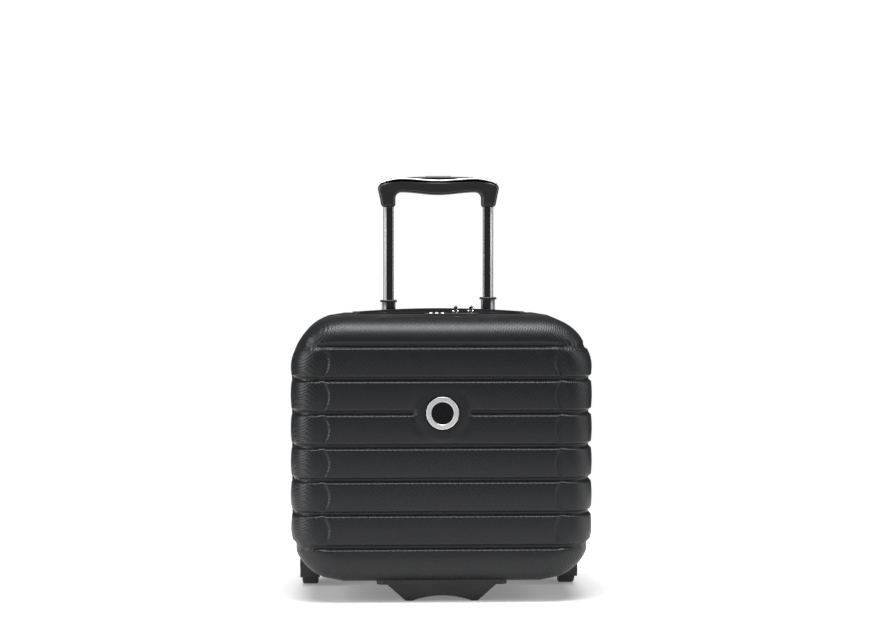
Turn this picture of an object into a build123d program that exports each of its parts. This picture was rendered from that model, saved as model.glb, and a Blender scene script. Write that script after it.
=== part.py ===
"""A hard-shell rolling flight case: two ribbed half shells joined by a zip, a two-stage pull handle, two
rear wheels and a front foot. Millimetres, +X to the right seen from the front, front towards -Y, +Z up,
origin on the ground under the middle of the case."""

import os
from math import cos, radians, sin

from build123d import *

# ---- driving dimensions ----
# case body
case_width = 430.0
case_height = 378.0
half_depth = 110.0
shell_bottom = 28.0
corner_radius = 75.0
front_edge_radius = 40.0
rear_edge_radius = 24.0
wall = 2.2
zip_gap = 5.0
rim_length = 7.0
rim_thickness = 3.0
# ribs
groove_count = 7
top_band = 39.9
bottom_band = 52.5
groove_width = 10.0
groove_depth = 4.0
groove_end = 26.0
rear_panel_half_width = 100.0
# badge
badge_radius = 25.0
badge_face_radius = 16.0
badge_thickness = 2.0
badge_base_thickness = 0.8
badge_face_stand = 0.5
badge_ring_inset = 2.0
badge_edge_radius = 0.4
badge_pad_radius = 36.0
# zip
tape_inset = 2.5
tape_thickness = 2.0
zip_centre_gap = 1.2
slider_length = 9.0
slider_plate = 2.5
slider_gap = 0.3
slider_corner_radius = 2.0
slider_post = (2.5, 1.6)
left_slider_x = 22.5
right_slider_x = 44.7
pull_width = 5.0
pull_length = 20.0
pull_thickness = 1.6
pull_corner_radius = 2.0
pull_eye_radius = 1.9
pull_pin_radius = 0.9
pull_pin_stand = 1.9
pull_lug_radius = 2.2
pull_lug_thickness = 1.2
pull_lug_gap = 0.3
pull_lift_deg = 25.0
# lining
lining_inset = 7.0
lining_thickness = 1.5
lining_gap = 2.0
ledge_gap = 5.0
rear_lining_depth = 55.0
hinge_tape_thickness = 0.7
# wheels
wheel_radius = 30.0
wheel_width = 23.6
wheel_side_inset = 23.5
wheel_back_inset = 34.0
hub_radius = 22.0
hub_width = 22.0
hub_bore_margin = 1.0
hub_pocket_count = 5
hub_pocket_circle = 15.8
hub_pocket_size = (9.0, 5.0)
hub_pocket_depth = 3.0
tyre_edge_radius = 3.0
wheel_gap = 2.5
wheel_side_gap = 0.7
housing_wall = 3.5
cheek = 2.0
housing_bottom = 14.0
axle_radius = 3.0
axle_head_height = 1.5
bearing_radius = 9.5
bearing_width = 6.0
# front foot
foot_setback = 48.0
foot_depth = 36.0
foot_tip_half_width = 52.0
foot_top_half_width = 79.0
foot_tip_width = 9.0
foot_arch_height = 7.6
foot_plate_height = 4.0
foot_plate_half_width = 93.0
foot_plate_margin = 4.0
foot_plate_radius = 10.0
foot_plate_bedding = 4.0
foot_edge_radius = 3.0
foot_screw_x = 60.0
foot_screw_radius = 1.6
foot_screw_grip = 5.0
foot_screw_well_radius = 4.0
foot_screw_head = (3.0, 2.5)
# pull handle
tube_end_inset = 15.7
tube_back_inset = 36.0
outer_tube_size = (25.0, 20.5)
middle_tube_size = (20.5, 16.0)
inner_tube_size = (15.5, 11.0)
tube_wall = 1.2
inner_tube_wall = 1.0
tube_corner_radius = 3.0
outer_tube_bottom = 38.0
middle_tube_length = 309.0
middle_tube_stand = 16.0
right_stage_lift = 4.0
inner_tube_length = 308.0
bush_height = 12.0
stub_height = 8.0
collar_height = 3.0
collar_margin = 2.25
collar_corner_radius = 4.0
collar_edge_radius = 1.0
latch_block_height = 14.0
latch_pin_radius = 2.2
latch_pin_chamfer = 0.6
latch_bore_overrun = 3.0
bracket_margin = 5.0
bracket_corner_radius = 4.0
grip_width = 180.0
grip_depth = 26.0
grip_stand = 157.0
grip_leg_length = 21.0
grip_bar_height = 14.0
grip_height = 46.0
leg_width = 20.5
grip_corner_radius = 6.0
grip_shoulder = 3.0
grip_leg_rise = 2.0
grip_belly = 1.5
grip_screw_height = 9.0
grip_screw_radius = 2.4
grip_screw_sink = 2.5
grip_screw_length = 1.6
grip_screw_well = 3.0
accent_height = 1.5
accent_inset = 0.5
cover_shoulder_share = 0.7
cover_shoulder_drop = 2.0
cover_arc_share = (0.91, 0.55)
cover_edge_radius = 5.0
button_size = (38.0, 12.0)
button_stand = 1.0
button_travel = 3.0
button_radius = 3.5
button_edge_radius = 1.2
button_sink = 1.0
button_stem_length = 16.0
push_rod_radius = 1.5
push_rod_end_gap = 2.0
crossbar_height = 2.5
crossbar_depth = 4.0
crossbar_margin = 1.0
channel_margin = 4.0
channel_depth = 8.0
# top console and carry handle
console_size = (256.0, 80.0)
console_back_inset = 56.0
console_stand = 1.5
console_radius = 12.0
recess_corner_radius = 6.0
grip_recess_clearance = 3.0
grip_recess_gap = 2.0
grip_recess_depth = 46.0
tub_wall = 2.0
finger_recess_size = (156.0, 28.0)
finger_recess_y = 31.0
finger_recess_depth = 14.0
carry_handle_length = 236.0
carry_handle_width = 16.0
carry_handle_rise = 4.5
carry_handle_end = 1.8
carry_handle_gap = 0.2
carry_lug_x = 108.0
carry_lug_size = (8.0, 12.0)
carry_lift = 12.0
retainer_height = 3.0
retainer_margin = 3.0
# lock
lock_centre_x = 16.0
lock_plate_size = (80.0, 28.8)
lock_plate_back = -5.2
lock_plate_height = 2.5
lock_plate_radius = 5.0
lock_edge_radius = 0.8
lock_box_size = (72.0, 16.5)
lock_box_depth = 12.0
dial_radius = 7.0
dial_width = 4.0
dial_facets = 20
dial_rise = 1.5
dial_side_gap = 0.3
dial_end_gap = 0.4
dial_xs = (-14.0, -5.5, 3.0)
dial_y = -22.0
spindle_radius = 1.5
spindle_overhang = 4.0
slider_button_x = 13.0
slider_button_size = 6.0
slider_button_radius = 1.0
slider_button_sink = 1.5
slider_button_height = 2.5
slider_button_travel = 4.0
slider_button_gap = 0.3
key_radius = 3.5
key_depth = 8.0
key_stand = 0.3
keyhole_size = (4.0, 1.2)
keyhole_depth = 4.0
key_x = 34.0
key_y = -26.0
# fits
running = 0.05
sliding = 0.5
seat = 0.1
bearing_seat = 0.02
screw_clearance = 0.2

# ---- values that follow ----
case_mid_z = shell_bottom + case_height / 2
case_top = shell_bottom + case_height
wheel_x = case_width / 2 - wheel_side_inset
wheel_y = half_depth - wheel_back_inset
foot_y = foot_setback - half_depth
tube_x = grip_width / 2 - tube_end_inset
tube_y = half_depth - tube_back_inset
console_y = half_depth - console_back_inset
grip_recess_floor = case_top - grip_recess_depth
middle_tube_top = case_top + middle_tube_stand
middle_tube_bottom = middle_tube_top - middle_tube_length
grip_bottom = case_top + grip_stand
grip_underside = grip_bottom + grip_leg_length
grip_split = grip_underside + grip_bar_height
grip_top = grip_bottom + grip_height
inner_tube_bottom = grip_underside - inner_tube_length
groove_pitch = (case_height - top_band - bottom_band) / (groove_count - 1)
groove_zs = [shell_bottom + bottom_band + groove_pitch * i for i in range(groove_count)]
badge_z = groove_zs[groove_count // 2 + 1]
inner_top = case_top - wall
plate_top = case_top + console_stand
tape_outer = case_top - tape_inset
tape_inner = tape_outer - tape_thickness
lock_top = case_top + lock_plate_height
finger_floor = case_top - finger_recess_depth
cover_bottom = grip_split + accent_height
button_bottom = grip_split - button_sink
lining_start = zip_gap + rim_length
FRONT, REAR = -1, 1

os.makedirs("parts", exist_ok=True)


def write(piece, name):
    """Labels one finished piece and writes its own STEP file."""
    piece.part.label = name
    export_step(piece.part, f"parts/{name}.step")


def upright_plane(y, z, side=FRONT):
    """A sketch plane across the case at depth y, with its normal pointing out of that side."""
    return Plane(origin=(0, y, z), x_dir=(1, 0, 0), z_dir=(0, side, 0))


def side_plane(x, y, z):
    """A sketch plane across the wheels and dials, with its normal along +X."""
    return Plane(origin=(x, y, z), x_dir=(0, 1, 0), z_dir=(1, 0, 0))


def case_form(side, inset, start, edge_radius):
    """The rounded block of one half, drawn in by inset, from depth start to its outer face."""
    with BuildPart() as form:
        with BuildSketch(upright_plane(side * start, case_mid_z, side)):
            RectangleRounded(case_width - 2 * inset, case_height - 2 * inset, corner_radius - inset)
        extrude(amount=half_depth - inset - start)
        fillet(form.faces().sort_by(Axis.Y)[0 if side < 0 else -1].edges(), edge_radius - inset)
    return form.part


def case_ring(side, outer_inset, thickness, start, length):
    """A band that follows the outline of the case, drawn in by outer_inset."""
    with BuildPart() as ring:
        with BuildSketch(upright_plane(side * start, case_mid_z, side)):
            for inset, mode in ((outer_inset, Mode.ADD), (outer_inset + thickness, Mode.SUBTRACT)):
                RectangleRounded(
                    case_width - 2 * inset, case_height - 2 * inset, corner_radius - inset, mode=mode
                )
        extrude(amount=length)
    return ring


def groove_blocks(side, inset):
    """What the grooves cut from a form drawn in by inset: slabs outside a core that lies groove_depth deeper."""
    reach = case_width
    with BuildPart() as blocks:
        with BuildSketch(upright_plane(side * groove_end, 0, side)):
            for z in groove_zs:
                near = badge_pad_radius + groove_width / 2 if z == badge_z else 0
                near = near - inset if side == FRONT and near else (rear_panel_half_width if side == REAR else 0)
                up = z if side == FRONT else -z
                for x_side in (-1, 1):
                    with Locations((x_side * (near + reach) / 2, up)):
                        Rectangle(reach - near, groove_width + 2 * inset)
        extrude(amount=half_depth)
        edge_radius = front_edge_radius if side == FRONT else rear_edge_radius
        add(case_form(side, groove_depth + inset, zip_gap, edge_radius), mode=Mode.SUBTRACT)
    return blocks.part


def rect_tube(name, x, size, thickness, bottom, top):
    """A rectangular tube standing at (x, tube_y)."""
    with BuildPart() as tube:
        with BuildSketch(Plane(origin=(x, tube_y, bottom))):
            RectangleRounded(size[0], size[1], tube_corner_radius)
            RectangleRounded(
                size[0] - 2 * thickness,
                size[1] - 2 * thickness,
                tube_corner_radius - thickness,
                mode=Mode.SUBTRACT,
            )
        extrude(amount=top - bottom)
    write(tube, name)


def inside(size, thickness, clearance=running):
    """What fits inside a rectangular tube of this size and wall."""
    return tuple(side - 2 * (thickness + clearance) for side in size)


# ---- half shells ----
with BuildPart() as front_shell:
    add(case_form(FRONT, 0, zip_gap, front_edge_radius))
    add(groove_blocks(FRONT, 0), mode=Mode.SUBTRACT)
    with BuildPart(mode=Mode.PRIVATE) as front_hollow:
        add(case_form(FRONT, wall, zip_gap - wall, front_edge_radius))
        add(groove_blocks(FRONT, wall), mode=Mode.SUBTRACT)
    add(front_hollow.part, mode=Mode.SUBTRACT)
    with BuildSketch(Plane(origin=(lock_centre_x, 0, case_top - 2 * wall))):
        with Locations((0, dial_y)):
            Rectangle(lock_box_size[0] + 2 * seat, lock_box_size[1] + 2 * seat)
    extrude(amount=4 * wall, mode=Mode.SUBTRACT)
write(front_shell, "front_shell")

with BuildPart() as rear_shell:
    add(case_form(REAR, 0, zip_gap, rear_edge_radius))
    add(groove_blocks(REAR, 0), mode=Mode.SUBTRACT)
    with BuildPart(mode=Mode.PRIVATE) as rear_hollow:
        add(case_form(REAR, wall, zip_gap - wall, rear_edge_radius))
        add(groove_blocks(REAR, wall), mode=Mode.SUBTRACT)
    add(rear_hollow.part, mode=Mode.SUBTRACT)
    with BuildSketch(Plane(origin=(0, console_y, case_top - 5 * wall))):
        RectangleRounded(console_size[0] + 2 * seat, console_size[1] + 2 * seat, console_radius + seat)
    extrude(amount=10 * wall, mode=Mode.SUBTRACT)
    for side in (-1, 1):
        housing_half = wheel_width / 2 + wheel_side_gap + cheek
        housing_radius = wheel_radius + wheel_gap + housing_wall
        for reach, radius in (
            (housing_half + seat, housing_radius + seat),
            (housing_half + axle_head_height + seat, 2 * axle_radius + seat),
        ):
            with BuildSketch(side_plane(side * wheel_x - reach, wheel_y, wheel_radius)):
                Circle(radius)
            extrude(amount=2 * reach, mode=Mode.SUBTRACT)
write(rear_shell, "rear_shell")

for side, end in ((FRONT, "front"), (REAR, "rear")):
    rim_frame = case_ring(side, wall, rim_thickness, zip_gap, rim_length)
    write(rim_frame, f"{end}_rim_frame")
    zip_tape = case_ring(side, tape_inset, tape_thickness, zip_centre_gap, zip_gap - zip_centre_gap)
    write(zip_tape, f"zip_tape_{end}")

# ---- linings ----
with BuildPart() as front_lining:
    add(case_form(FRONT, lining_inset, lining_start, front_edge_radius))
    inner_start = lining_start - lining_thickness
    add(case_form(FRONT, lining_inset + lining_thickness, inner_start, front_edge_radius), mode=Mode.SUBTRACT)
    with BuildSketch(Plane(origin=(lock_centre_x, dial_y, case_mid_z))):
        Rectangle(lock_box_size[0] + 2 * sliding, lock_box_size[1] + 2 * sliding)
    extrude(amount=case_height, mode=Mode.SUBTRACT)
write(front_lining, "front_lining")


def rear_lining_form(inset, start, end):
    """The rear lining's block, stepped in over the wheels and under the console."""
    shy = inset - lining_inset
    housing_radius = wheel_radius + wheel_gap + housing_wall
    clear = lining_thickness + lining_gap + shy
    well_x = wheel_x - wheel_width / 2 - wheel_side_gap - cheek - clear
    well_top = wheel_radius + housing_radius + clear
    well_front = wheel_y - housing_radius - clear
    ledge_x = carry_lug_x + carry_lug_size[0] + ledge_gap + shy
    ledge_z = finger_floor - tub_wall - retainer_height - lining_thickness - shy
    with BuildPart() as form:
        with BuildSketch(upright_plane(start, case_mid_z, REAR)):
            RectangleRounded(case_width - 2 * inset, case_height - 2 * inset, corner_radius - inset)
        extrude(amount=end - start)
        for x_side in (-1, 1):
            with BuildSketch(upright_plane(well_front, 0, FRONT).offset(-half_depth)):
                with Locations((x_side * (well_x + case_width / 2), well_top / 2)):
                    Rectangle(case_width, well_top)
            extrude(amount=half_depth, mode=Mode.SUBTRACT)
        with BuildSketch(Plane(origin=(0, half_depth / 2, ledge_z))):
            Rectangle(2 * ledge_x, 2 * half_depth)
        extrude(amount=case_height, mode=Mode.SUBTRACT)
    return form.part


with BuildPart() as rear_lining:
    add(rear_lining_form(lining_inset, lining_start, rear_lining_depth))
    add(
        rear_lining_form(
            lining_inset + lining_thickness,
            lining_start - lining_thickness,
            rear_lining_depth - lining_thickness,
        ),
        mode=Mode.SUBTRACT,
    )
write(rear_lining, "rear_lining")

hinge_tape_x = -case_width / 2 + wall + rim_thickness
with BuildPart() as hinge_tape:
    with BuildSketch(Plane(origin=(hinge_tape_x, 0, case_mid_z), x_dir=(0, 1, 0), z_dir=(1, 0, 0))):
        with Locations(((zip_centre_gap + lining_start) / 2, 0)):
            Rectangle(lining_start - zip_centre_gap, case_height - 2 * corner_radius)
    extrude(amount=hinge_tape_thickness)
write(hinge_tape, "hinge_tape")

# ---- badge ----
with BuildPart() as badge_base:
    with BuildSketch(upright_plane(-half_depth, badge_z)):
        Circle(badge_radius)
    extrude(amount=badge_base_thickness)
    with BuildSketch(upright_plane(-half_depth - badge_base_thickness, badge_z)):
        Circle(badge_face_radius)
    extrude(amount=badge_face_stand)
write(badge_base, "badge_base")

with BuildPart() as badge_ring:
    with BuildSketch(upright_plane(-half_depth - badge_base_thickness, badge_z)):
        Circle(badge_radius - badge_ring_inset)
        Circle(badge_face_radius, mode=Mode.SUBTRACT)
    extrude(amount=badge_thickness - badge_base_thickness)
    fillet(badge_ring.faces().sort_by(Axis.Y)[0].edges(), badge_edge_radius)
write(badge_ring, "badge_ring")

# ---- front foot ----
foot_plate_bottom = shell_bottom - foot_plate_height
with BuildPart() as foot_base_plate:
    with BuildSketch(Plane(origin=(0, foot_y, foot_plate_bottom))):
        RectangleRounded(2 * foot_plate_half_width, foot_depth + 2 * foot_plate_margin, foot_plate_radius)
    extrude(amount=foot_plate_height + foot_plate_bedding)
    add(case_form(FRONT, 0, zip_gap, front_edge_radius), mode=Mode.SUBTRACT)
write(foot_base_plate, "foot_base_plate")

with BuildPart() as front_foot:
    with BuildSketch(upright_plane(foot_y + foot_depth / 2, 0)):
        with BuildLine():
            tip_in = foot_tip_half_width - foot_tip_width
            Line((-foot_top_half_width, foot_plate_bottom), (foot_top_half_width, foot_plate_bottom))
            Line((foot_top_half_width, foot_plate_bottom), (foot_tip_half_width, 0))
            Line((foot_tip_half_width, 0), (tip_in, 0))
            ThreePointArc((tip_in, 0), (0, foot_arch_height), (-tip_in, 0))
            Line((-tip_in, 0), (-foot_tip_half_width, 0))
            Line((-foot_tip_half_width, 0), (-foot_top_half_width, foot_plate_bottom))
        make_face()
    extrude(amount=foot_depth)
    slanted = front_foot.edges().filter_by(lambda e: 1 < e.center().Z < foot_plate_bottom - 1)
    fillet(slanted.filter_by(lambda e: abs(e.center().X) > foot_tip_half_width), foot_edge_radius)
    for x_side in (-1, 1):
        with BuildSketch(Plane(origin=(x_side * foot_screw_x, foot_y, 0))):
            Circle(foot_screw_radius + running)
        extrude(amount=foot_plate_bottom, mode=Mode.SUBTRACT)
        with BuildSketch(Plane(origin=(x_side * foot_screw_x, foot_y, 0))):
            Circle(foot_screw_well_radius)
        extrude(amount=foot_plate_bottom - foot_screw_grip, mode=Mode.SUBTRACT)
write(front_foot, "front_foot")

with BuildPart() as foot_screws:
    head_radius, head_height = foot_screw_head
    head_top = foot_plate_bottom - foot_screw_grip
    for x_side in (-1, 1):
        with BuildSketch(Plane(origin=(x_side * foot_screw_x, foot_y, head_top - head_height))):
            Circle(head_radius)
        extrude(amount=head_height)
        with BuildSketch(Plane(origin=(x_side * foot_screw_x, foot_y, head_top))):
            Circle(foot_screw_radius)
        extrude(amount=foot_screw_grip)
write(foot_screws, "foot_screws")

# ---- wheels ----
housing_inner = wheel_radius + wheel_gap
housing_outer = housing_inner + housing_wall
well_half = wheel_width / 2 + wheel_side_gap
for side, end in ((-1, "left"), (1, "right")):
    centre = side * wheel_x
    with BuildPart() as wheel_housing:
        with BuildSketch(side_plane(centre - well_half - cheek, wheel_y, wheel_radius)):
            Circle(housing_outer)
        extrude(amount=2 * (well_half + cheek))
        with BuildSketch(side_plane(centre - well_half, wheel_y, wheel_radius)):
            Circle(housing_inner)
        extrude(amount=2 * well_half, mode=Mode.SUBTRACT)
        with BuildSketch(Plane(origin=(centre, wheel_y, -housing_outer))):
            Rectangle(case_width, 4 * housing_outer)
        extrude(amount=housing_outer + housing_bottom, mode=Mode.SUBTRACT)
        with BuildSketch(side_plane(centre - well_half - 2 * cheek, wheel_y, wheel_radius)):
            Circle(axle_radius + running)
        extrude(amount=2 * well_half + 4 * cheek, mode=Mode.SUBTRACT)
    write(wheel_housing, f"wheel_housing_{end}")

    with BuildPart() as wheel_axle:
        reach = well_half + cheek
        with BuildSketch(side_plane(centre - reach, wheel_y, wheel_radius)):
            Circle(axle_radius)
        extrude(amount=2 * reach)
        for x_start in (centre - reach - axle_head_height, centre + reach):
            with BuildSketch(side_plane(x_start, wheel_y, wheel_radius)):
                Circle(2 * axle_radius)
            extrude(amount=axle_head_height)
    write(wheel_axle, f"wheel_axle_{end}")

    with BuildPart() as tyre:
        with BuildSketch(side_plane(centre - wheel_width / 2, wheel_y, wheel_radius)):
            Circle(wheel_radius)
            Circle(hub_radius, mode=Mode.SUBTRACT)
        extrude(amount=wheel_width)
        tread_edges = tyre.edges().filter_by(GeomType.CIRCLE).filter_by(lambda e: e.radius > hub_radius + running)
        fillet(tread_edges, tyre_edge_radius)
    write(tyre, f"wheel_tyre_{end}")

    with BuildPart() as hub:
        with BuildSketch(side_plane(centre - hub_width / 2, wheel_y, wheel_radius)):
            Circle(hub_radius)
            Circle(axle_radius + hub_bore_margin, mode=Mode.SUBTRACT)
        extrude(amount=hub_width)
        for x_start in (centre - hub_width / 2, centre + hub_width / 2 - bearing_width):
            with BuildSketch(side_plane(x_start, wheel_y, wheel_radius)):
                Circle(bearing_radius + bearing_seat)
            extrude(amount=bearing_width, mode=Mode.SUBTRACT)
        for x_start in (centre - hub_width / 2, centre + hub_width / 2 - hub_pocket_depth):
            with BuildSketch(side_plane(x_start, wheel_y, wheel_radius)):
                with PolarLocations(hub_pocket_circle, hub_pocket_count):
                    SlotOverall(*hub_pocket_size, rotation=90)
            extrude(amount=hub_pocket_depth, mode=Mode.SUBTRACT)
    write(hub, f"wheel_hub_{end}")

    with BuildPart() as bearings:
        for x_start in (centre - hub_width / 2, centre + hub_width / 2 - bearing_width):
            with BuildSketch(side_plane(x_start, wheel_y, wheel_radius)):
                Circle(bearing_radius)
                Circle(axle_radius + running, mode=Mode.SUBTRACT)
            extrude(amount=bearing_width)
    write(bearings, f"wheel_bearings_{end}")

# ---- top console ----
grip_recess = (grip_width + 2 * grip_recess_clearance, grip_depth + 2 * grip_recess_gap)
tub_radius = recess_corner_radius + tub_wall
with BuildPart() as top_console:
    with BuildSketch(Plane(origin=(0, console_y, inner_top))):
        RectangleRounded(console_size[0], console_size[1], console_radius)
    extrude(amount=plate_top - inner_top)
    with BuildSketch(Plane(origin=(0, tube_y, grip_recess_floor - tub_wall))):
        RectangleRounded(grip_recess[0] + 2 * tub_wall, grip_recess[1] + 2 * tub_wall, tub_radius)
    extrude(amount=inner_top - grip_recess_floor + tub_wall)
    with BuildSketch(Plane(origin=(0, tube_y, grip_recess_floor))):
        RectangleRounded(*grip_recess, recess_corner_radius)
    extrude(amount=case_height, mode=Mode.SUBTRACT)
    with BuildSketch(Plane(origin=(0, finger_recess_y, finger_floor))):
        RectangleRounded(*finger_recess_size, recess_corner_radius)
    extrude(amount=case_height, mode=Mode.SUBTRACT)
    with BuildSketch(Plane(origin=(0, 0, grip_recess_floor - 2 * tub_wall))):
        for side in (-1, 1):
            with Locations((side * tube_x, tube_y)):
                Rectangle(middle_tube_size[0] + 2 * running, middle_tube_size[1] + 2 * running)
            with Locations((side * carry_lug_x, finger_recess_y)):
                Rectangle(carry_lug_size[0] + 2 * sliding, carry_lug_size[1] + 2 * sliding)
    extrude(amount=case_height, mode=Mode.SUBTRACT)
write(top_console, "top_console")

with BuildPart() as carry_handle_cup:
    with BuildSketch(Plane(origin=(0, finger_recess_y, finger_floor - tub_wall))):
        RectangleRounded(finger_recess_size[0] + 2 * tub_wall, finger_recess_size[1] + 2 * tub_wall, tub_radius)
    extrude(amount=inner_top - finger_floor + tub_wall)
    with BuildSketch(Plane(origin=(0, finger_recess_y, finger_floor))):
        RectangleRounded(*finger_recess_size, recess_corner_radius)
    extrude(amount=case_height, mode=Mode.SUBTRACT)
write(carry_handle_cup, "carry_handle_cup")

# ---- carry handle ----
with BuildPart() as carry_handle_grip:
    half = carry_handle_length / 2
    low = plate_top + carry_handle_gap
    with BuildSketch(upright_plane(finger_recess_y + carry_handle_width / 2, 0)):
        with BuildLine():
            Line((-half, low), (-half, low + carry_handle_end))
            ThreePointArc(
                (-half, low + carry_handle_end),
                (0, low + carry_handle_end + carry_handle_rise),
                (half, low + carry_handle_end),
            )
            Line((half, low + carry_handle_end), (half, low))
            ThreePointArc((half, low), (0, low + carry_handle_end), (-half, low))
        make_face()
    extrude(amount=carry_handle_width)
    lug_bottom = inner_top - carry_lift - sliding
    with BuildSketch(Plane(origin=(0, finger_recess_y, lug_bottom))):
        with Locations((-carry_lug_x, 0), (carry_lug_x, 0)):
            Rectangle(*carry_lug_size)
    extrude(amount=low + carry_handle_end / 2 - lug_bottom)
write(carry_handle_grip, "carry_handle_grip")

with BuildPart() as carry_handle_retainers:
    with BuildSketch(Plane(origin=(0, finger_recess_y, lug_bottom - retainer_height))):
        with Locations((-carry_lug_x, 0), (carry_lug_x, 0)):
            Rectangle(carry_lug_size[0] + 2 * retainer_margin, carry_lug_size[1] + 2 * retainer_margin)
    extrude(amount=retainer_height)
write(carry_handle_retainers, "carry_handle_retainers")

# ---- pull handle: outer and middle tubes ----
bush_size = inside(outer_tube_size, tube_wall)
stub_size = inside(middle_tube_size, tube_wall, running + sliding)
latch_size = inside(middle_tube_size, tube_wall)
rod_guide = inside(inner_tube_size, inner_tube_wall, running + sliding)
for side, end in ((-1, "left"), (1, "right")):
    x = side * tube_x
    lift = right_stage_lift if side > 0 else 0
    rect_tube(
        f"trolley_outer_tube_{end}", x, outer_tube_size, tube_wall, outer_tube_bottom, grip_recess_floor - tub_wall
    )
    rect_tube(
        f"middle_tube_{end}", x, middle_tube_size, tube_wall, middle_tube_bottom + lift, middle_tube_top + lift
    )
    with BuildPart() as middle_collar:
        with BuildSketch(Plane(origin=(x, tube_y, middle_tube_top + lift))):
            RectangleRounded(
                middle_tube_size[0] + 2 * collar_margin,
                middle_tube_size[1] + 2 * collar_margin,
                collar_corner_radius,
            )
            Rectangle(inner_tube_size[0] + 2 * running, inner_tube_size[1] + 2 * running, mode=Mode.SUBTRACT)
        extrude(amount=collar_height)
        fillet(middle_collar.faces().sort_by(Axis.Z)[-1].outer_wire().edges(), collar_edge_radius)
    write(middle_collar, f"middle_collar_{end}")

    with BuildPart() as middle_bush:
        with BuildSketch(Plane(origin=(x, tube_y, middle_tube_bottom + lift - bush_height))):
            RectangleRounded(*bush_size, tube_corner_radius)
        extrude(amount=bush_height)
        with BuildSketch(Plane(origin=(x, tube_y, middle_tube_bottom + lift))):
            RectangleRounded(*stub_size, tube_corner_radius)
        extrude(amount=stub_height)
    write(middle_bush, f"middle_bush_{end}")

    rect_tube(f"inner_tube_{end}", x, inner_tube_size, inner_tube_wall, inner_tube_bottom, grip_underside)

    pin_z = inner_tube_bottom - latch_block_height / 2
    with BuildPart() as latch_block:
        with BuildSketch(Plane(origin=(x, tube_y, inner_tube_bottom - latch_block_height))):
            RectangleRounded(*latch_size, tube_corner_radius)
        extrude(amount=latch_block_height)
        with BuildSketch(Plane(origin=(x, tube_y, inner_tube_bottom))):
            RectangleRounded(*rod_guide, tube_corner_radius)
        extrude(amount=stub_height)
        with BuildSketch(side_plane(x - side * latch_bore_overrun, tube_y, pin_z)):
            Circle(latch_pin_radius + running)
        extrude(amount=side * latch_size[0], mode=Mode.SUBTRACT)
    write(latch_block, f"latch_block_{end}")

    with BuildPart() as latch_pin:
        with BuildSketch(side_plane(x, tube_y, pin_z)):
            Circle(latch_pin_radius)
        extrude(amount=side * latch_size[0] / 2)
        chamfer(latch_pin.faces().sort_by(Axis.X)[-1 if side > 0 else 0].edges(), latch_pin_chamfer)
    write(latch_pin, f"latch_pin_{end}")

with BuildPart() as trolley_foot_bracket:
    bracket_bottom = shell_bottom + wall
    bracket_width = 2 * (tube_x + bracket_margin) + outer_tube_size[0]
    bracket_depth = 2 * (half_depth - rear_edge_radius - tube_y)
    with BuildSketch(Plane(origin=(0, tube_y, bracket_bottom))):
        RectangleRounded(bracket_width, bracket_depth, bracket_corner_radius)
    extrude(amount=outer_tube_bottom - bracket_bottom)
write(trolley_foot_bracket, "trolley_foot_bracket")

# ---- pull handle: grip ----
rod_channel = (2 * (tube_x + channel_margin), channel_depth)
grip_y_back = tube_y + grip_depth / 2
grip_y_front = tube_y - grip_depth / 2
with BuildPart() as grip_body:
    with BuildSketch(upright_plane(grip_y_back, 0)):
        with BuildLine():
            half = grip_width / 2
            leg_in = tube_x - leg_width / 2
            leg_out = tube_x + leg_width / 2
            shoulder_z = grip_underside + grip_shoulder
            arch_z = grip_underside + grip_leg_rise
            Polyline((-half, grip_split), (half, grip_split), (half, shoulder_z), (leg_out, grip_bottom))
            Polyline((leg_out, grip_bottom), (leg_in, grip_bottom), (leg_in, arch_z))
            ThreePointArc((leg_in, arch_z), (0, grip_underside - grip_belly), (-leg_in, arch_z))
            Polyline((-leg_in, arch_z), (-leg_in, grip_bottom), (-leg_out, grip_bottom))
            Polyline((-leg_out, grip_bottom), (-half, shoulder_z), (-half, grip_split))
        make_face()
    extrude(amount=grip_depth)
    side_edges = grip_body.edges().filter_by(Axis.Z).filter_by(lambda e: abs(e.center().X) > leg_out)
    fillet(side_edges, grip_corner_radius)
    channel_floor = button_bottom - 2 * button_travel - crossbar_height - sliding
    with BuildSketch(Plane(origin=(0, tube_y, channel_floor))):
        Rectangle(*rod_channel)
    extrude(amount=grip_split - channel_floor, mode=Mode.SUBTRACT)
    with BuildSketch(Plane(origin=(0, tube_y, button_bottom - button_travel - sliding))):
        RectangleRounded(button_size[0] + 2 * sliding, button_size[1] + 2 * sliding, button_radius + sliding)
    extrude(amount=grip_split - grip_underside, mode=Mode.SUBTRACT)
    with BuildSketch(Plane(origin=(0, 0, grip_bottom - 1))):
        with Locations((-tube_x, tube_y), (tube_x, tube_y)):
            RectangleRounded(
                inner_tube_size[0] + 2 * running, inner_tube_size[1] + 2 * running, tube_corner_radius
            )
    extrude(amount=grip_underside - grip_bottom + 1, mode=Mode.SUBTRACT)
    with BuildSketch(Plane(origin=(0, 0, grip_underside - 1))):
        with Locations((-tube_x, tube_y), (tube_x, tube_y)):
            Circle(push_rod_radius + sliding)
    extrude(amount=channel_floor - grip_underside + 2, mode=Mode.SUBTRACT)
    for side in (-1, 1):
        with BuildSketch(upright_plane(grip_y_front + grip_screw_sink, grip_bottom + grip_screw_height)):
            with Locations((side * tube_x, 0)):
                Circle(grip_screw_radius + screw_clearance)
        extrude(amount=grip_screw_well, mode=Mode.SUBTRACT)
write(grip_body, "grip_body")

with BuildPart() as grip_screws:
    for side in (-1, 1):
        with BuildSketch(upright_plane(grip_y_front + grip_screw_sink, grip_bottom + grip_screw_height)):
            with Locations((side * tube_x, 0)):
                Circle(grip_screw_radius)
        extrude(amount=grip_screw_length)
write(grip_screws, "grip_screws")

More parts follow.
